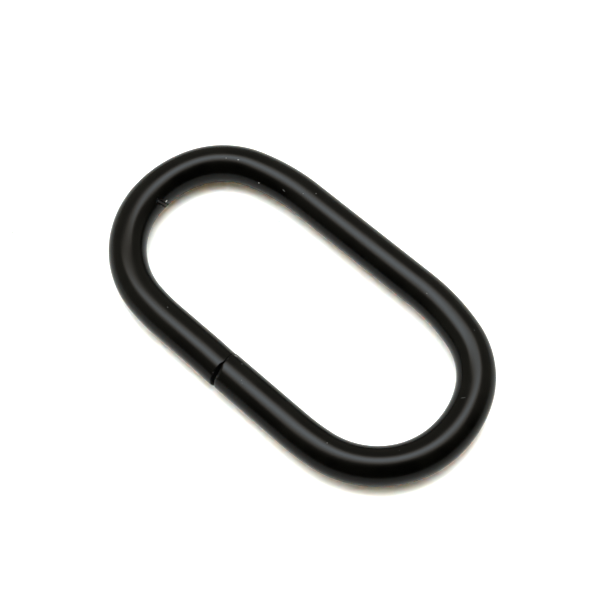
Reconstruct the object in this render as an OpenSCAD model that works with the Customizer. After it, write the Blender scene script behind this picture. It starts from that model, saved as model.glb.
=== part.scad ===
// Strap loop: one length of round wire bent into a long loop that lies flat, its two cut ends
// meeting in an open joint near the middle of one long side. The origin is on the surface that
// the loop lies on, under the middle of the loop. X runs along the loop, and the joint is on
// the side that faces -Y.

/* [Opening] */
// Length of the opening between the insides of the two bends
inner_length = 38; // [36:0.5:42]
// Width of the opening at the middle of the loop
inner_width = 16.6; // [15.5:0.1:17.5]

/* [Wire] */
// Diameter of the coated wire
wire_d = 4.1; // [3:0.1:4.5]

/* [Sides] */
// Length of the straight stretch on the side with the joint
joint_side_straight = 17.7; // [14:0.1:19]
// Length of the straight stretch on the plain side
plain_side_straight = 16.3; // [13:0.1:18]
// Angle turned by the soft curve that leads from the joint side into a bend
joint_side_ease = 8; // [6:1:10]
// Angle turned by the soft curve that leads from the plain side into a bend
plain_side_ease = 18; // [14:1:20]

/* [Bends] */
// Radius of a bend's corner next to the joint side, at the middle of the wire
joint_corner_r = 9.95; // [9:0.05:10.4]
// Radius of a bend's corner next to the plain side, which is bent tighter
plain_corner_r = 8.55; // [8:0.05:9]
// Angle of the flatter end of the loop, from its furthest point towards the joint side
joint_end_angle = 8; // [5:1:12]
// Angle of the flatter end of the loop, from its furthest point towards the plain side
plain_end_angle = 24; // [20:1:28]

/* [Joint] */
// Place of the joint along the loop, from the loop's middle
joint_x = -0.65; // [-4:0.05:4]
// Gap between the two cut ends, at the middle of the wire
joint_gap = 0.19; // [0.19:0.01:0.4]
// Sideways slant of the left cut end
left_end_skew = -1.6; // [-2:0.1:-1]
// Slant of the left cut end from bottom to top
left_end_lean = -3.9; // [-4:0.1:-3]
// Sideways slant of the right cut end
right_end_skew = -5.9; // [-6:0.1:-5]
// Slant of the right cut end from bottom to top
right_end_lean = -2.9; // [-4:0.1:-2.5]

/* [Hidden] */
$fn = 64;

wire_r = wire_d / 2;

// Half sizes of the loop's centre line
half_length = (inner_length + wire_d) / 2;
half_width = (inner_width + wire_d) / 2;

// Length from the end of each straight stretch to the loop's furthest point
joint_side_reach = half_length - joint_side_straight / 2;
plain_side_reach = half_length - plain_side_straight / 2;

// Width that the curves of one side cover, less what the radius of the end adds to it
function fixed_rise(reach, ease, corner_r, end_angle) =
    reach * tan(ease / 2)
    + corner_r * (cos(ease) - sin(end_angle) - tan(ease / 2) * (cos(end_angle) - sin(ease)));

// Share of the end's radius that the curves of one side add to that width
function end_share(ease, end_angle) = sin(end_angle) - tan(ease / 2) * (1 - cos(end_angle));

// Radius of the flatter end, found so that the curves of both sides add up to the loop's width
end_r = (2 * half_width
        - fixed_rise(joint_side_reach, joint_side_ease, joint_corner_r, joint_end_angle)
        - fixed_rise(plain_side_reach, plain_side_ease, plain_corner_r, plain_end_angle))
    / (end_share(joint_side_ease, joint_end_angle) + end_share(plain_side_ease, plain_end_angle));

// Radius of a soft curve, found so that it starts where the straight stretch ends
function ease_r(reach, ease, corner_r, end_angle) =
    (reach - corner_r * (cos(end_angle) - sin(ease)) - end_r * (1 - cos(end_angle))) / sin(ease);

joint_ease_r = ease_r(joint_side_reach, joint_side_ease, joint_corner_r, joint_end_angle);
plain_ease_r = ease_r(plain_side_reach, plain_side_ease, plain_corner_r, plain_end_angle);

// Centre of the curve that follows on from another at an angle, both with the same tangent there
function next_centre(centre, radius, next_radius, angle) =
    centre + (radius - next_radius) * [cos(angle), sin(angle)];

// Centres of the five curves at the loop's right end, from the joint side to the plain side
joint_ease_centre = [joint_side_straight / 2, joint_ease_r - half_width];
joint_corner_centre = next_centre(joint_ease_centre, joint_ease_r, joint_corner_r, joint_side_ease - 90);
end_centre = next_centre(joint_corner_centre, joint_corner_r, end_r, -joint_end_angle);
plain_corner_centre = next_centre(end_centre, end_r, plain_corner_r, plain_end_angle);
plain_ease_centre = [plain_side_straight / 2, half_width - plain_ease_r];

// Reach of the blocks that shape the cut ends, past the wire on every side
cut_reach = 2 * wire_d;

// Step that place() rounds to
place_step = 0.01;

// Moves in two steps, whole hundredths and then the rest, so that the curves meet to the last digit
module place(offset) {
    coarse = [for (value = offset) round(value / place_step) * place_step];
    translate(coarse)
        translate(offset - coarse)
            children();
}

// Straight wire along X, centred on the YZ plane
module straight_wire(length) {
    translate([-length / 2, 0, 0])
        rotate([0, 90, 0])
            cylinder(r = wire_r, h = length);
}

// Wire bent about a centre, from one angle to another
module bent_wire(centre, radius, from, to) {
    place([centre.x, centre.y, 0])
        rotate_extrude(start = from, angle = to - from)
            place([radius, 0])
                circle(r = wire_r);
}

// The five curves at the loop's right end: soft curve, corner, flatter end, corner, soft curve
module end_bend() {
    bent_wire(joint_ease_centre, joint_ease_r, -90, joint_side_ease - 90);
    bent_wire(joint_corner_centre, joint_corner_r, joint_side_ease - 90, -joint_end_angle);
    bent_wire(end_centre, end_r, -joint_end_angle, plain_end_angle);
    bent_wire(plain_corner_centre, plain_corner_r, plain_end_angle, 90 - plain_side_ease);
    bent_wire(plain_ease_centre, plain_ease_r, 90 - plain_side_ease, 90);
}

// Closed loop of wire, before its ends are cut
module closed_loop() {
    translate([0, -half_width, 0])
        straight_wire(joint_side_straight);
    translate([0, half_width, 0])
        straight_wire(plain_side_straight);
    for (side = [0, 1])
        mirror([side, 0, 0])
            end_bend();
}

// Space on one side of a cut end's face: direction 1 is to the right of it, -1 to the left
module beside_face(x, skew, lean, direction) {
    translate([x, -half_width, 0])
        rotate([0, lean, -skew])
            translate([(direction - 1) / 2 * cut_reach, -cut_reach, -cut_reach])
                cube([cut_reach, 2 * cut_reach, 2 * cut_reach]);
}

// Wedge of air between the two cut ends, wider towards the outside of the loop
module joint_wedge() {
    intersection() {
        beside_face(joint_x - joint_gap / 2, left_end_skew, left_end_lean, 1);
        beside_face(joint_x + joint_gap / 2, right_end_skew, right_end_lean, -1);
    }
}

// The wire loop, lying on the surface
module wire_loop() {
    color("#1c1c1b")
        translate([0, 0, wire_r])
            difference() {
                closed_loop();
                joint_wedge();
            }
}

wire_loop();
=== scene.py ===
# Strap loop of black coated wire, lying on a white sheet in soft studio light
import bpy
import numpy as np
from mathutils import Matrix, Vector


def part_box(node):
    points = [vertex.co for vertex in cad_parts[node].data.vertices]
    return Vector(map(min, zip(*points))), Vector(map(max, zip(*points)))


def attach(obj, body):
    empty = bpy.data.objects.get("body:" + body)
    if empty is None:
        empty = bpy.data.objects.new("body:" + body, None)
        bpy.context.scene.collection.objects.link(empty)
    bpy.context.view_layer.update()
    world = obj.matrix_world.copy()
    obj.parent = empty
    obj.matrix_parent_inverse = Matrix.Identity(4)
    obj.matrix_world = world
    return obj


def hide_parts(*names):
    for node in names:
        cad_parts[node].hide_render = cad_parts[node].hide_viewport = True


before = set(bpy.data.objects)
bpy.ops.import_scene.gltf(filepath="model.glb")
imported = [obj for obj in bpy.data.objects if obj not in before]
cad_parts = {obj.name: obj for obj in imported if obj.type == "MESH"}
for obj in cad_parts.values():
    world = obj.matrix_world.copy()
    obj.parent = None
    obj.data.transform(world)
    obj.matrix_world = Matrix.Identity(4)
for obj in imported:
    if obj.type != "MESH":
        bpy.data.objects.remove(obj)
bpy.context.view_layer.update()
mm = 0.001  # the scene is in metres, and small sizes are given in millimetres
scene = bpy.context.scene
scene.view_settings.view_transform = "Standard"


# Camera: it stands at the photograph's angle and looks at a point on the sheet near the middle
# of the loop
view = {
    "azimuth": 42.44,  # degrees from the joint side towards the loop's right end
    "elevation": 64.15,  # degrees above the sheet
    "distance": 146.36 * mm,
    "lookAt": (-1.009 * mm, 1.463 * mm, 0.091 * mm),
    "sensorWidth": 36.0,
    "lens": 81.95,  # millimetres, for the sensor above
    "nearest": 5 * mm,  # nearest and farthest that the camera shows
    "farthest": 20.0,
}

azimuth, elevation = np.radians((view["azimuth"], view["elevation"]))
awayFromCamera = Vector((-np.sin(azimuth), np.cos(azimuth), 0.0))  # level, upwards in the picture
toTheRight = Vector((np.cos(azimuth), np.sin(azimuth), 0.0))  # level, rightwards in the picture
straightUp = Vector((0.0, 0.0, 1.0))


# Camera at the point looked at, plus the distance along the line of sight backwards
def setUpCamera():
    lens = bpy.data.cameras.new("photoLens")
    lens.sensor_width = view["sensorWidth"]
    lens.lens = view["lens"]
    lens.clip_start = view["nearest"]
    lens.clip_end = view["farthest"]
    camera = bpy.data.objects.new("photoCamera", lens)
    scene.collection.objects.link(camera)
    backwards = straightUp * np.sin(elevation) - awayFromCamera * np.cos(elevation)
    camera.location = Vector(view["lookAt"]) + backwards * view["distance"]
    camera.rotation_euler = (-backwards).to_track_quat("-Z", "Y").to_euler()
    scene.camera = camera


setUpCamera()
print("camera set at the photograph's angle")


# New node of a kind, with its settings
def addNode(tree, kind, **settings):
    node = tree.nodes.new(kind)
    for name, value in settings.items():
        setattr(node, name, value)
    return node


# What goes into a node's input: a link from another node, or a plain value
def feed(tree, target, value):
    if isinstance(value, bpy.types.NodeSocket):
        tree.links.new(value, target)
    else:
        target.default_value = value


# One arithmetic step on one, two or three values
def combine(tree, operation, *values, clamp=False):
    node = addNode(tree, "ShaderNodeMath", operation=operation, use_clamp=clamp)
    for target, value in zip(node.inputs, values):
        feed(tree, target, value)
    return node.outputs[0]


# One step on vectors: the dot product and the distance come out as values
def combineVectors(tree, operation, *values):
    node = addNode(tree, "ShaderNodeVectorMath", operation=operation)
    for target, value in zip(node.inputs, values):
        feed(tree, target, value)
    return node.outputs["Value" if operation in ("DOT_PRODUCT", "DISTANCE") else "Vector"]


# Value carried softly from one range to another: low + (high - low) * (3 t squared less 2 t cubed),
# where t is its share of the way from start to end, held between 0 and 1
def softStep(tree, value, start, end, low=0.0, high=1.0):
    node = addNode(tree, "ShaderNodeMapRange", interpolation_type="SMOOTHSTEP")
    given = {"Value": value, "From Min": start, "From Max": end, "To Min": low, "To Max": high}
    for name, part in given.items():
        feed(tree, node.inputs[name], part)
    return node.outputs["Result"]


# Fractal noise on the piece's own coordinates, with features about as wide as the size given
def noise(tree, coordinates, size, detail):
    node = addNode(tree, "ShaderNodeTexNoise")
    node.inputs["Scale"].default_value = 1.0 / size
    node.inputs["Detail"].default_value = detail
    tree.links.new(coordinates, node.inputs["Vector"])
    return node.outputs["Fac"]


# Mix of two colours: first * (1 - share) + second * share
def mixColours(tree, share, first, second):
    node = addNode(tree, "ShaderNodeMix", data_type="RGBA")
    for name, value in (("Factor", share), ("A", first), ("B", second)):
        feed(tree, node.inputs[name], value)
    return node.outputs["Result"]


# Value that the mesh itself carries under a name
def attributeValue(tree, name):
    return addNode(tree, "ShaderNodeAttribute", attribute_name=name).outputs["Fac"]


# New material, with its tree of nodes and its shader
def newMaterial(name):
    material = bpy.data.materials.new(name)
    material.use_nodes = True
    tree = material.node_tree
    return material, tree, tree.nodes["Principled BSDF"]


# Wire loop: a round wire whose sides, corners and ends have the sizes below. Its thickness, length
# and width come from the frame.
wireLoop = {
    "jointSideStraight": 17.7 * mm,
    "plainSideStraight": 16.3 * mm,
    "jointSideEase": 8.0,  # degrees turned by the soft curve next to a straight stretch
    "plainSideEase": 18.0,
    "jointCornerRadius": 9.95 * mm,
    "plainCornerRadius": 8.55 * mm,
    "jointEndAngle": 8.0,  # degrees of the flatter end, from its furthest point
    "plainEndAngle": 24.0,
    "jointX": -0.65 * mm,
    "jointGap": 0.19 * mm,
    # Each cut end: its slants in degrees, how far it is bent outwards, and sizes that change round
    # the wire, as points of degrees and size: the rounding of its edge, how far it reaches past
    # its plane, and how deep the cutter pressed its edge in
    "leftEnd": {
        "skew": -1.6,
        "lean": -3.9,
        "outwards": 0.06 * mm,
        "rounding": ((0, 0.05 * mm),),
        "reach": ((-60, 0), (-20, -0.08 * mm), (55, -0.06 * mm), (72, 0), (82, 0.01 * mm),
                  (89, 0.12 * mm), (104, 0.12 * mm), (120, 0.09 * mm), (150, 0.04 * mm), (180, 0)),
        "press": ((0, 0),),
    },
    "rightEnd": {
        "skew": -5.9,
        "lean": -2.9,
        "outwards": 0.0,
        "rounding": ((-60, 0.08 * mm), (-20, 0.20 * mm), (45, 0.20 * mm), (80, 0.08 * mm)),
        "reach": ((0, 0),),
        "press": ((28, 0), (42, 0.14 * mm), (58, 0.16 * mm), (88, 0)),
    },
    "endFade": 3.0 * mm,  # the slant and the bend of a cut end fade out over this length of wire
    "reachFade": 0.6 * mm,
    "pressSlope": 0.42,  # depth that the pressed facet loses for each step along the wire
    # Painted highlight on the right end's rounded edge: a lighter colour in place of the light that edge
    # catches, as points of degrees and share
    "edgeHighlightShares": ((-60, 0), (-20, 1), (40, 1), (50, 0.1), (100, 0.1), (106, 0.8), (112, 0.1), (180, 0)),
    "edgeHighlightFrom": 0.85,  # share of the wire's radius from which that painted edge highlight shows
    "bareTo": 0.82,  # share of the wire's radius up to which a cut face has its full look
    "around": 180,  # points round the wire
    "scarCloser": 4.0,  # times as close together at the scar
    "scarAngle": 16.0,  # degrees over which that fades
    "spacing": 0.30 * mm,  # between sections of plain wire
    "endSpacing": 0.05 * mm,  # between sections at the cut ends
    "endReach": 0.6 * mm,  # length of wire over which that fades
    "scarSpacing": 0.022 * mm,  # between sections at the scar
    "scarReach": 1.0 * mm,
    "edgeRows": 9,  # rows on the rounded edge of a cut end
    "faceRows": 6,  # rows on its flat face
    "innermostRow": 0.12,  # radius of the row next to the pole, as a share of the face's
    "fineSteps": 20000,  # steps in which the spacings are added up
}

wireLow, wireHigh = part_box("wire_loop")
wireRadius = (wireHigh.z - wireLow.z) / 2
halfLength = (wireHigh.x - wireLow.x) / 2 - wireRadius
halfWidth = (wireHigh.y - wireLow.y) / 2 - wireRadius


# Bell that is 1 in the middle and falls to nearly 0 at twice its reach: e to the power of
# -(distance / reach) squared
def bell(distance, reach):
    return np.exp(-((distance / reach) ** 2))


# Smooth step from 0 to 1: 3 t squared less 2 t cubed, with t held between 0 and 1
def smooth(value, start, end):
    t = np.clip((value - start) / (end - start), 0.0, 1.0)
    return t * t * (3 - 2 * t)


# Sums of a row's values up to each of them, with 0 in front
def sumsFromZero(values):
    return np.concatenate(([0.0], np.cumsum(values)))


# Running total of a density: each step adds the mean of the densities at its two ends times its
# length
def runningTotal(density, places):
    return sumsFromZero((density[1:] + density[:-1]) / 2 * np.diff(places))


# Pieces of the centre line, as rows of length and turn, anticlockwise from the joint. The radius
# of the flatter end is the one with which both sides' curves add up to the loop's width, and a
# soft curve's radius is the one with which it starts where its straight stretch ends.
def centreLinePieces(loop):
    sides, fixedRises, endShares = [], [], []
    for side in ("joint", "plain"):
        reach = halfLength - loop[side + "SideStraight"] / 2
        ease, endAngle = np.radians((loop[side + "SideEase"], loop[side + "EndAngle"]))
        cornerRadius = loop[side + "CornerRadius"]
        slope = np.tan(ease / 2)
        sides.append((reach, ease, endAngle, cornerRadius))
        fixedRises.append(reach * slope + cornerRadius * (
            np.cos(ease) - np.sin(endAngle) - slope * (np.cos(endAngle) - np.sin(ease))))
        endShares.append(np.sin(endAngle) - slope * (1 - np.cos(endAngle)))
    endRadius = (2 * halfWidth - sum(fixedRises)) / sum(endShares)

    bends = []
    for reach, ease, endAngle, cornerRadius in sides:
        easeRadius = (reach - cornerRadius * (np.cos(endAngle) - np.sin(ease))
                      - endRadius * (1 - np.cos(endAngle))) / np.sin(ease)
        cornerTurn = np.pi / 2 - ease - endAngle
        bends.append([(easeRadius * ease, ease), (cornerRadius * cornerTurn, cornerTurn),
                      (endRadius * endAngle, endAngle)])
    jointBend, plainBend = bends
    rightEnd = jointBend + plainBend[::-1]
    halfJointSide = loop["jointSideStraight"] / 2
    return np.array([(halfJointSide - loop["jointX"], 0.0), *rightEnd, (loop["plainSideStraight"], 0.0),
                     *rightEnd[::-1], (halfJointSide + loop["jointX"], 0.0)])


# Centre line: within its piece, a straight one goes on along its heading, and a bend of curvature
# k goes on by (sin(heading) - sin(start heading)) / k in X and by
# (cos(start heading) - cos(heading)) / k in Y.
def centreLine(pieces, along):
    lengths, turns = pieces.T
    bent = turns != 0
    curvature = np.where(bent, turns / lengths, 1.0)

    def step(isBent, k, heading, newHeading, length):
        stepX = np.where(isBent, (np.sin(newHeading) - np.sin(heading)) / k, length * np.cos(heading))
        stepY = np.where(isBent, (np.cos(heading) - np.cos(newHeading)) / k, length * np.sin(heading))
        return stepX, stepY

    starts = sumsFromZero(lengths)
    headings = sumsFromZero(turns)
    chordX, chordY = step(bent, curvature, headings[:-1], headings[1:], lengths)
    cornerX = wireLoop["jointX"] + sumsFromZero(chordX)
    cornerY = -halfWidth + sumsFromZero(chordY)
    piece = np.clip(np.searchsorted(starts, along, side="right") - 1, 0, len(lengths) - 1)
    length = along - starts[piece]
    heading = headings[piece] + turns[piece] * length / lengths[piece]
    stepX, stepY = step(bent[piece], curvature[piece], headings[piece], heading, length)
    return cornerX[piece] + stepX, cornerY[piece] + stepY, heading


centrePieces = centreLinePieces(wireLoop)
wireLength = centrePieces[:, 0].sum()

# Scar in the coating: a small tongue of coat that lifts towards the inside of the loop, inside a
# dark sunk line. Its place is measured as that of the marks below.
scar = {
    "along": 82.44 * mm,
    "around": 170.0,
    "halfAcross": 0.20 * mm,  # half its size across its own length
    "halfLong": 1.15 * mm,
    "turn": 117.0,  # degrees between the wire's length and the scar's
    "rim": 0.075 * mm,  # reach of the sunk line to either side of its middle
    "depth": 0.18 * mm,
    "lift": 0.02 * mm,
}


# Height of the scar over the wire's surface: lift * way squared * tongue, less depth * line, where
# way is the share of the way along it. The shares of its line and of its tongue come with it.
def scarRelief(along, around):
    turn = np.radians(scar["turn"])
    onwards = along - scar["along"]
    sideways = (around - np.radians(scar["around"])) * wireRadius
    lengthways = onwards * np.cos(turn) + sideways * np.sin(turn)
    across = sideways * np.cos(turn) - onwards * np.sin(turn)
    outside = np.maximum(np.abs(lengthways) - scar["halfLong"], np.abs(across) - scar["halfAcross"])
    way = np.clip(lengthways / scar["halfLong"] / 2 + 0.5, 0.0, 1.0)
    tongue = 1 - smooth(outside, -scar["rim"], scar["rim"])
    line = bell(outside, scar["rim"])
    return scar["lift"] * way**2 * tongue - scar["depth"] * line, line, tongue


# Angles of the points round the wire: their wanted closeness, which is 1 and higher at the scar,
# is added up round the wire, and the angles are where that sum passes each equal share
def anglesAround(loop):
    fine = np.linspace(0.0, 2 * np.pi, loop["fineSteps"] + 1)
    scarBell = bell(fine - np.radians(scar["around"]), np.radians(loop["scarAngle"]))
    total = runningTotal(1 + (loop["scarCloser"] - 1) * scarBell, fine)
    return np.interp(np.arange(loop["around"]) / loop["around"], total / total[-1], fine)


# Places of the sections along the wire: the wanted number of sections for a length is added up
# along the loop, and the places are where that sum passes each equal step
def sectionPlaces(loop, start, end):
    fine = np.linspace(start, end, loop["fineSteps"] + 1)
    closeUps = [(place, loop["endReach"], loop["endSpacing"]) for place in (start, end)]
    closeUps += [(scar["along"], loop["scarReach"], loop["scarSpacing"])]
    density = np.full_like(fine, 1 / loop["spacing"])
    for place, reach, spacing in closeUps:
        density = np.maximum(density, bell(fine - place, reach) / spacing)
    total = runningTotal(density, fine)
    return np.interp(np.linspace(0.0, total[-1], int(total[-1]) + 1), total, fine)


# Size that changes round the wire: straight lines between its points of degrees and size, with
# the underside at -90 degrees
def sizeAround(around, points):
    degrees = (np.degrees(around) + 90) % 360 - 90
    angles, sizes = np.array(points).T
    return np.interp(degrees, angles, sizes)


# Rows of the closed skin, from the pole of the right cut end to that of the left one: the flat
# face, the quarter circle of its rounded edge, and then the wire's wall. Each point has its place
# along the wire and its radius.
def skinRows(loop, start, end, around):
    edgeTurns = np.radians(np.linspace(0.0, 90.0, loop["edgeRows"]))[:, None]
    faceShares = np.linspace(loop["innermostRow"], 1.0, loop["faceRows"] + 1)[:-1, None]
    ends = []
    for side in ("rightEnd", "leftEnd"):
        rounding = sizeAround(around, loop[side]["rounding"])
        faceRadii = faceShares * (wireRadius - rounding)
        radii = np.concatenate((faceRadii, wireRadius - rounding + rounding * np.sin(edgeTurns)))
        depths = np.concatenate((np.zeros_like(faceRadii), rounding * (1 - np.cos(edgeTurns))))
        ends.append((depths, radii))
    (rightDepths, rightRadii), (leftDepths, leftRadii) = ends
    places = sectionPlaces(loop, start + rightDepths.max(), end - leftDepths.max())[1:-1]
    wall = np.broadcast_to(places[:, None], (len(places), len(around)))
    along = np.concatenate((start + rightDepths, wall, (end - leftDepths)[::-1]))
    radius = np.concatenate((rightRadii, np.full(wall.shape, wireRadius), leftRadii[::-1]))
    return along, radius


# Shape of the cut ends. Place along the wire: radius * (tan(lean) * sin(around) - tan(skew) *
# cos(around)) lays the end on its plane, and its edge reaches out past that. Press: the deepest
# less the slope times the distance from the end. Shift: how far the end is bent outwards.
def shapeEnds(loop, along, radius, around, start, end):
    place = along.copy()
    press = np.zeros_like(along)
    shift = np.zeros_like(along)
    for side, distance, onwards in (("rightEnd", along - start, -1), ("leftEnd", end - along, 1)):
        fade = 1 - smooth(distance, 0.0, loop["endFade"])
        skew, lean = np.radians((loop[side]["skew"], loop[side]["lean"]))
        place += fade * radius * (np.tan(lean) * np.sin(around) - np.tan(skew) * np.cos(around))
        reach = sizeAround(around, loop[side]["reach"]) * (radius / wireRadius) ** 2
        place += onwards * reach * (1 - smooth(distance, 0.0, loop["reachFade"]))
        deepest = sizeAround(around, loop[side]["press"])
        press += np.maximum(deepest - loop["pressSlope"] * distance, 0.0) * radius / wireRadius
        shift += fade * loop[side]["outwards"]
    return place, press, shift


# Wire skin: a circle carried along the centre line, centre + radius * (cos(around) * outward +
# sin(around) * up), with the cut ends' shape and the scar's. What the coating reads comes with it.
def wireSkin(loop):
    start = loop["jointGap"] / 2
    end = wireLength - start
    around = anglesAround(loop)
    along, radius = skinRows(loop, start, end, around)
    place, press, shift = shapeEnds(loop, along, radius, around, start, end)

    relief, groove, tongue = scarRelief(place, around)
    onWall = radius == wireRadius
    reached = radius - press + np.where(onWall, relief, 0.0)
    outward = reached * np.cos(around) + shift
    upward = reached * np.sin(around)

    x, y, heading = centreLine(centrePieces, place)
    skinX = x + outward * np.sin(heading)
    skinY = y - outward * np.cos(heading)
    points = np.stack((skinX, skinY, wireRadius + upward), axis=-1)

    # Painted highlight: share of a lighter colour on the rounded edge of the right end, where that edge
    # catches light
    edgeHighlightAmount = sizeAround(around, loop["edgeHighlightShares"]) * (along < wireLength / 2)
    onEdge = (radius < wireRadius) & (radius > loop["edgeHighlightFrom"] * wireRadius)
    return points, {
        "cutFace": 1 - smooth(radius, loop["bareTo"] * wireRadius, wireRadius),
        "edge": np.where(onEdge, edgeHighlightAmount, 0.0),
        "scarLine": np.where(onWall, groove, 0.0),
        "scarTongue": np.where(onWall, tongue, 0.0),
    }


# Closed mesh from a grid that wraps round: quads between the rows, and a fan to a pole at each
# end, where the pole is the mean of its row
def meshFromRows(name, points, attributes):
    rows, columns = points.shape[:2]
    index = np.arange(rows * columns).reshape(rows, columns)
    beside = np.roll(index, -1, axis=1)
    quads = np.stack((index[:-1], index[1:], beside[1:], beside[:-1]), axis=-1).reshape(-1, 4)
    firstPole, lastPole = rows * columns, rows * columns + 1
    firstFan = np.stack((np.full(columns, firstPole), index[0], beside[0]), axis=-1)
    lastFan = np.stack((np.full(columns, lastPole), beside[-1], index[-1]), axis=-1)
    poles = (points[0].mean(axis=0), points[-1].mean(axis=0))
    vertices = np.concatenate((points.reshape(-1, 3), poles))
    mesh = bpy.data.meshes.new(name)
    mesh.from_pydata(vertices, [], quads.tolist() + firstFan.tolist() + lastFan.tolist())
    for attributeName, values in attributes.items():
        ends = (values[0].mean(), values[-1].mean())
        layer = mesh.attributes.new(attributeName, "FLOAT", "POINT")
        layer.data.foreach_set("value", np.concatenate((values.ravel(), ends)).astype(np.float32))
    mesh.shade_smooth()
    piece = bpy.data.objects.new(name, mesh)
    scene.collection.objects.link(piece)
    return piece


# Satin black coating: nearly black, with faint warm clouds in its colour, a slightly uneven gloss, the fine
# skin of a sprayed coat, dust flecks, a duller, thinner coat on the cut ends, and a lighter grey painted on
# the right end's rounded edge as a highlight
coating = {
    "black": (0.0004, 0.0004, 0.0003, 1.0),
    "warmBlack": (0.0010, 0.0010, 0.0007, 1.0),
    "cutFace": (0.0012, 0.0011, 0.0010, 1.0),
    # Painted highlight on the right end's rounded edge: a lighter grey in place of the light that edge
    # catches
    "paintedEdgeHighlight": (0.030, 0.030, 0.028, 1.0),
    "scarInside": (0.016, 0.016, 0.016, 1.0),
    "dust": (0.80, 0.82, 0.80, 1.0),
    # Noises: the size of their features, and their detail
    "clouds": (3.5 * mm, 3.0),
    "skin": (0.35 * mm, 2.0),
    "grain": (0.07 * mm, 2.0),
    # Ranges of a noise over which the warm black, the painted edge highlight and the gloss come in
    "warmRange": (0.35, 0.65),
    "edgeHighlightRange": (0.35, 0.60),
    "glossRange": (0.3, 0.7),
    "roughness": 0.21,
    "cloudSpread": 0.04,  # difference in roughness between the dullest cloud and the glossiest
    "grainSpread": 0.0267,
    "dullness": {"cutFace": 0.6, "scarLine": 0.8, "dust": 0.5},  # added to the roughness there
    # A low refraction keeps grazing reflections faint, as on the real coat, and the gloss factor
    # gives back the reflection of what is faced squarely
    "refraction": 1.13,
    "glossFactor": 1.88,
    # Heights of the relief against the skin's, and the height and strength of the whole
    "grainHeight": 0.25,
    "dustHeight": 4.0,
    "cutHeight": 6.0,
    "reliefHeight": 0.004 * mm,
    "reliefStrength": 0.25,
    # Distances from a mark's middle, as shares of its width: it is full up to the first, and gone
    # from the second
    "markFull": 0.30,
    "markGone": 0.62,
}

# Marks in the coating, each at its place along the wire from the joint, anticlockwise, and in
# degrees round it: 0 is the outside of the loop, 90 the top and 180 the inside. The direction is
# the angle between the mark's length and the wire's.
marks = {
    # name: (along, around, length, width, direction, brightness)
    "nibOnTopA": (2.65 * mm, 83, 0.12 * mm, 0.10 * mm, 0, 0.07),
    "nibOnTopB": (2.95 * mm, 77, 0.12 * mm, 0.10 * mm, 0, 0.02),
    "chipByRightEnd": (0.20 * mm, 137, 0.48 * mm, 0.11 * mm, 57, 0.20),
    "fleckByRightEnd": (1.35 * mm, 125, 0.12 * mm, 0.10 * mm, 0, 0.09),
    "fleckLowerSide": (13.60 * mm, 98, 0.11 * mm, 0.10 * mm, 0, 0.09),
    "fleckLowerBend": (21.35 * mm, 112, 0.11 * mm, 0.10 * mm, 0, 0.015),
    "hairScratch": (31.02 * mm, 115, 0.62 * mm, 0.06 * mm, -67, 0.05),
    "fleckRightBend": (38.80 * mm, 71, 0.11 * mm, 0.10 * mm, 0, 0.04),
    "fleckRightSide": (45.00 * mm, 111, 0.12 * mm, 0.11 * mm, 0, 0.11),
    "fleckUpperA": (61.60 * mm, 82, 0.12 * mm, 0.10 * mm, 0, 0.12),
    "fleckUpperB": (62.65 * mm, 108, 0.12 * mm, 0.11 * mm, 0, 0.10),
    "dashUpper": (64.80 * mm, 135, 0.38 * mm, 0.11 * mm, -11, 0.07),
    "fleckUpperInner": (68.05 * mm, 154, 0.15 * mm, 0.13 * mm, 0, 0.42),
    "fleckCrownA": (71.30 * mm, 106, 0.21 * mm, 0.13 * mm, 0, 0.18),
    "fleckCrownB": (72.75 * mm, 105, 0.13 * mm, 0.12 * mm, 0, 0.11),
    "fleckByScar": (81.95 * mm, 167, 0.34 * mm, 0.17 * mm, 8, 0.65),
    "fleckUnderScar": (82.95 * mm, 165, 0.14 * mm, 0.12 * mm, 0, 0.10),
    "fleckLeftSide": (99.15 * mm, 105, 0.11 * mm, 0.10 * mm, 0, 0.07),
    "fleckByLeftEnd": (107.55 * mm, 46, 0.10 * mm, 0.09 * mm, 0, 0.17),
}


# Centre of a mark, centre line + radius * (cos(angle) * outward + sin(angle) * up), and the
# directions along the wire and round it there
def markFrame(along, around):
    x, y, heading = centreLine(centrePieces, np.array([along]))
    outward = np.array((np.sin(heading[0]), -np.cos(heading[0]), 0.0))
    up = np.array((0.0, 0.0, 1.0))
    angle = np.radians(around)
    radial = np.cos(angle) * outward + np.sin(angle) * up
    centre = np.array((x[0], y[0], wireRadius)) + wireRadius * radial
    alongWire = np.array((np.cos(heading[0]), np.sin(heading[0]), 0.0))
    aroundWire = np.cos(angle) * up - np.sin(angle) * outward
    return centre, alongWire, aroundWire


# Share of dust: a mark's brightness inside an ellipse on the skin, falling to 0 at its edge. With
# v from the mark's centre and p the part of v along the mark, the distance is the square root of
# v squared less p squared times 1 - (width / length) squared.
def markShare(tree, coordinates):
    total = 0.0
    for along, around, length, width, direction, brightness in marks.values():
        centre, alongWire, aroundWire = markFrame(along, around)
        angle = np.radians(direction)
        axis = alongWire * np.cos(angle) + aroundWire * np.sin(angle)
        offset = combineVectors(tree, "SUBTRACT", coordinates, tuple(centre))
        part = combineVectors(tree, "DOT_PRODUCT", offset, tuple(axis))
        square = combineVectors(tree, "DOT_PRODUCT", offset, offset)
        partSquare = combine(tree, "MULTIPLY", part, part)
        squeezed = combine(tree, "MULTIPLY", partSquare, 1 - (width / length) ** 2)
        remainder = combine(tree, "MAXIMUM", combine(tree, "SUBTRACT", square, squeezed), 0.0)
        distance = combine(tree, "SQRT", remainder)
        full, gone = coating["markFull"] * width, coating["markGone"] * width
        total = combine(tree, "MAXIMUM", softStep(tree, distance, full, gone, brightness, 0.0), total)
    return total


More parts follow.
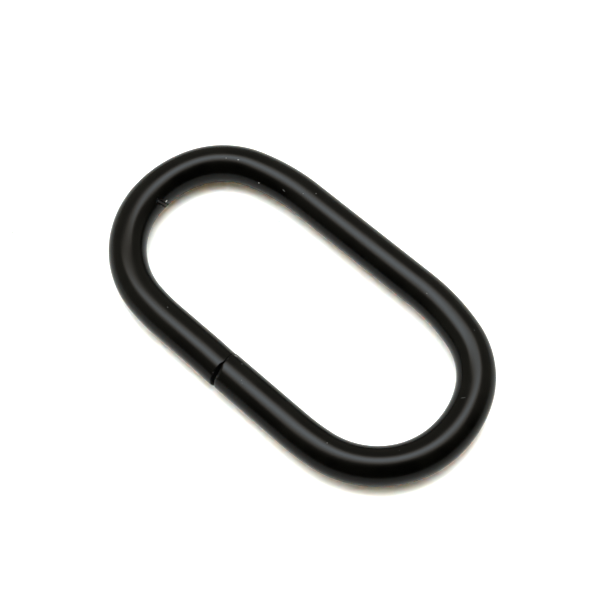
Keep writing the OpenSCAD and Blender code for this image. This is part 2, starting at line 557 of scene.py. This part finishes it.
# Colour of the coat: black, and over it one colour after the other, each with its own share
def coatColour(tree, clouds, skin, shares):
    warm = softStep(tree, clouds, *coating["warmRange"])
    # Painted highlight on the right end's edge, broken up by the skin's noise
    edgeHighlight = combine(tree, "MULTIPLY", shares["edge"], softStep(tree, skin, *coating["edgeHighlightRange"]))
    inside = combine(tree, "SUBTRACT", shares["scarTongue"], shares["scarLine"], clamp=True)
    layers = {"warmBlack": warm, "cutFace": shares["cutFace"], "paintedEdgeHighlight": edgeHighlight,
              "scarInside": inside, "dust": shares["dust"]}
    colour = coating["black"]
    for name, share in layers.items():
        colour = mixColours(tree, share, colour, coating[name])
    return colour


# Roughness of the coat: its mean, spread by the clouds and the grain, plus what dulls it
def coatRoughness(tree, clouds, grain, shares):
    cloudSide, grainSide = coating["cloudSpread"] / 2, coating["grainSpread"] / 2
    mean = coating["roughness"]
    cloudPart = softStep(tree, clouds, *coating["glossRange"], -cloudSide, cloudSide)
    grainPart = softStep(tree, grain, *coating["glossRange"], mean - grainSide, mean + grainSide)
    roughness = combine(tree, "ADD", cloudPart, grainPart)
    for name, dullness in coating["dullness"].items():
        roughness = combine(tree, "MULTIPLY_ADD", shares[name], dullness, roughness, clamp=True)
    return roughness


# Relief of the coat: the skin's noise, plus the grain, the dust and the roughened cut faces, each
# with its own height
def coatRelief(tree, skin, grain, shares):
    height = combine(tree, "MULTIPLY_ADD", grain, coating["grainHeight"], skin)
    height = combine(tree, "MULTIPLY_ADD", shares["dust"], coating["dustHeight"], height)
    cutSkin = combine(tree, "MULTIPLY", shares["cutFace"], skin)
    height = combine(tree, "MULTIPLY_ADD", cutSkin, coating["cutHeight"], height)
    bump = addNode(tree, "ShaderNodeBump")
    bump.inputs["Strength"].default_value = coating["reliefStrength"]
    bump.inputs["Distance"].default_value = coating["reliefHeight"]
    tree.links.new(height, bump.inputs["Height"])
    return bump.outputs["Normal"]


# Material of the wire: the coat's colour, roughness and relief, from three noises on the piece's
# own coordinates, what the mesh carries, and the marks
def makeCoating():
    material, tree, shader = newMaterial("satinBlackCoat")
    coordinates = addNode(tree, "ShaderNodeTexCoord").outputs["Object"]
    clouds, skin, grain = (noise(tree, coordinates, *coating[name]) for name in ("clouds", "skin", "grain"))
    shares = {name: attributeValue(tree, name) for name in ("cutFace", "edge", "scarLine", "scarTongue")}
    shares["dust"] = markShare(tree, coordinates)
    tree.links.new(coatColour(tree, clouds, skin, shares), shader.inputs["Base Color"])
    tree.links.new(coatRoughness(tree, clouds, grain, shares), shader.inputs["Roughness"])
    tree.links.new(coatRelief(tree, skin, grain, shares), shader.inputs["Normal"])
    shader.inputs["IOR"].default_value = coating["refraction"]
    shader.inputs["Specular Tint"].default_value = (*[coating["glossFactor"]] * 3, 1.0)
    return material


skinPoints, skinAttributes = wireSkin(wireLoop)
loopPiece = meshFromRows("strapLoopWire", skinPoints, skinAttributes)
loopPiece.data.materials.append(makeCoating())
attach(loopPiece, "root")
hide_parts("wire_loop")
print("wire loop made:", len(loopPiece.data.polygons), "faces")


# White sheet under the loop: a large flat sheet whose surface lets a little light through, red
# the furthest, so that the edge of a shadow is soft and warm
sheet = {
    "halfSize": 3.0,
    "thickness": 20 * mm,
    "colour": (0.95, 0.925, 0.90, 1.0),
    "scatter": 1.0,
    "scatterRadius": (2.2 * mm, 1.9 * mm, 1.7 * mm),
    "roughness": 0.35,  # its gloss takes light from what it shows at low angles
    "specularLevel": 0.5,
    "fibres": (1.2 * mm, 3.0),  # size and detail of a faint noise, its range, share and colour
    "fibreRange": (0.3, 0.7),
    "fibreShare": 0.03,
    "fibreColour": (0.8, 0.8, 0.8, 1.0),
    # Dust specks: (x, y, width, grey)
    "specks": ((-29.86 * mm, -13.74 * mm, 0.30 * mm, 0.22), (-9.20 * mm, 6.99 * mm, 0.30 * mm, 0.26)),
    "speckFull": 0.3,  # shares of a speck's width up to which it is full, and where it ends
    "speckGone": 0.6,
}


# Mesh of the sheet: a flat square with its top on the surface that the loop lies on, and its
# underside lower by the sheet's thickness
def sheetMesh():
    half, depth = sheet["halfSize"], sheet["thickness"]
    corners = np.array(((-half, -half), (half, -half), (half, half), (-half, half)))
    top = np.column_stack((corners, np.zeros(4)))
    bottom = np.column_stack((corners, np.full(4, -depth)))
    sides = [(i, i + 4, (i + 1) % 4 + 4, (i + 1) % 4) for i in range(4)]
    mesh = bpy.data.meshes.new("whiteSheet")
    mesh.from_pydata(np.concatenate((top, bottom)).tolist(), [], [(0, 1, 2, 3), (7, 6, 5, 4)] + sides)
    return mesh


# Material of the sheet: white with faint fibres and dust specks, which are full up to one share
# of their width from their middle and fade to nothing at another
def sheetMaterial():
    material, tree, shader = newMaterial("whiteSheet")
    coordinates = addNode(tree, "ShaderNodeTexCoord").outputs["Object"]
    fibres = noise(tree, coordinates, *sheet["fibres"])
    fibreShare = softStep(tree, fibres, *sheet["fibreRange"], 0.0, sheet["fibreShare"])
    colour = mixColours(tree, fibreShare, sheet["colour"], sheet["fibreColour"])
    for x, y, width, grey in sheet["specks"]:
        distance = combineVectors(tree, "DISTANCE", coordinates, (x, y, 0.0))
        share = softStep(tree, distance, sheet["speckFull"] * width, sheet["speckGone"] * width, 1.0, 0.0)
        colour = mixColours(tree, share, colour, (grey, grey, grey, 1.0))
    tree.links.new(colour, shader.inputs["Base Color"])
    shader.inputs["Roughness"].default_value = sheet["roughness"]
    shader.inputs["Specular IOR Level"].default_value = sheet["specularLevel"]
    shader.inputs["Subsurface Weight"].default_value = sheet["scatter"]
    shader.inputs["Subsurface Radius"].default_value = sheet["scatterRadius"]
    shader.inputs["Subsurface Scale"].default_value = 1.0
    return material


floor = bpy.data.objects.new("whiteSheet", sheetMesh())
floor.data.materials.append(sheetMaterial())
scene.collection.objects.link(floor)
print("white sheet made")


# Light: a wide soft panel overhead, cool in its middle and warm at its edges, and a pale surround
# that fades to dark on the camera's side
light = {
    "height": 0.430,
    "right": -0.078,  # place of the panel's middle, as shares of its height
    "away": 0.195,
    "wide": 1.42,  # its size, as shares of its height
    "deep": 0.89,
    "turn": 9.3,  # degrees, anticlockwise from above
    "softWide": 0.58,  # shares of its size over which it fades to its edges
    "softDeep": 0.95,
    "layers": 5,
    "warmLayers": 2,  # the colour turns from the edge's to the middle's over so many layers
    "layerStep": 1 * mm,
    "brightness": 16.2,
    "colour": (0.80, 1.04, 1.26),
    "edgeColour": (1.16, 0.99, 0.78),
    "surround": 1.0,  # its brightness, on its bright side and on its dark one
    "surroundDark": 0.02,
    "surroundColour": (1.0, 0.95, 0.80),
    "surroundTurn": -12.7,  # degrees from straight away towards the right
    "surroundFrom": -0.50,  # it brightens from this share of a direction towards its bright side
    "surroundTo": 0.117,  # to this one
}


# Panel overhead: layers of light, each smaller than the one before by the same step, so that it
# is brightest in its middle. A layer's power is its brightness times pi times its area.
def makePanel():
    middle, edge = np.array((light["colour"], light["edgeColour"]))
    for layer in range(light["layers"]):
        inwards = (layer + 0.5) / light["layers"]
        lamp = bpy.data.lights.new("softPanel", "AREA")
        lamp.shape = "RECTANGLE"
        lamp.size = (1 - light["softWide"] * inwards) * light["wide"] * light["height"]
        lamp.size_y = (1 - light["softDeep"] * inwards) * light["deep"] * light["height"]
        lamp.energy = light["brightness"] / light["layers"] * np.pi * lamp.size * lamp.size_y
        lamp.color = edge + (middle - edge) * min(1.0, layer / light["warmLayers"])
        panel = bpy.data.objects.new("softPanel", lamp)
        scene.collection.objects.link(panel)
        height = light["height"] + layer * light["layerStep"]
        panel.location = height * (straightUp + toTheRight * light["right"] + awayFromCamera * light["away"])
        panel.rotation_euler = (0.0, 0.0, azimuth + np.radians(light["turn"]))


# Surround: its brightness rises smoothly with the share of a direction that points to its bright
# side, which is the dot product of the two
def makeSurround():
    world = bpy.data.worlds.new("studioSurround")
    scene.world = world
    world.use_nodes = True
    tree = world.node_tree
    background = tree.nodes["Background"]
    background.inputs["Color"].default_value = (*light["surroundColour"], 1.0)
    direction = addNode(tree, "ShaderNodeTexCoord").outputs["Generated"]
    turn = np.radians(light["surroundTurn"])
    brightSide = awayFromCamera * np.cos(turn) + toTheRight * np.sin(turn)
    facing = combineVectors(tree, "DOT_PRODUCT", direction, tuple(brightSide))
    strength = softStep(tree, facing, light["surroundFrom"], light["surroundTo"],
                        light["surroundDark"], light["surround"])
    tree.links.new(strength, background.inputs["Strength"])


makePanel()
makeSurround()
print("soft studio light set")
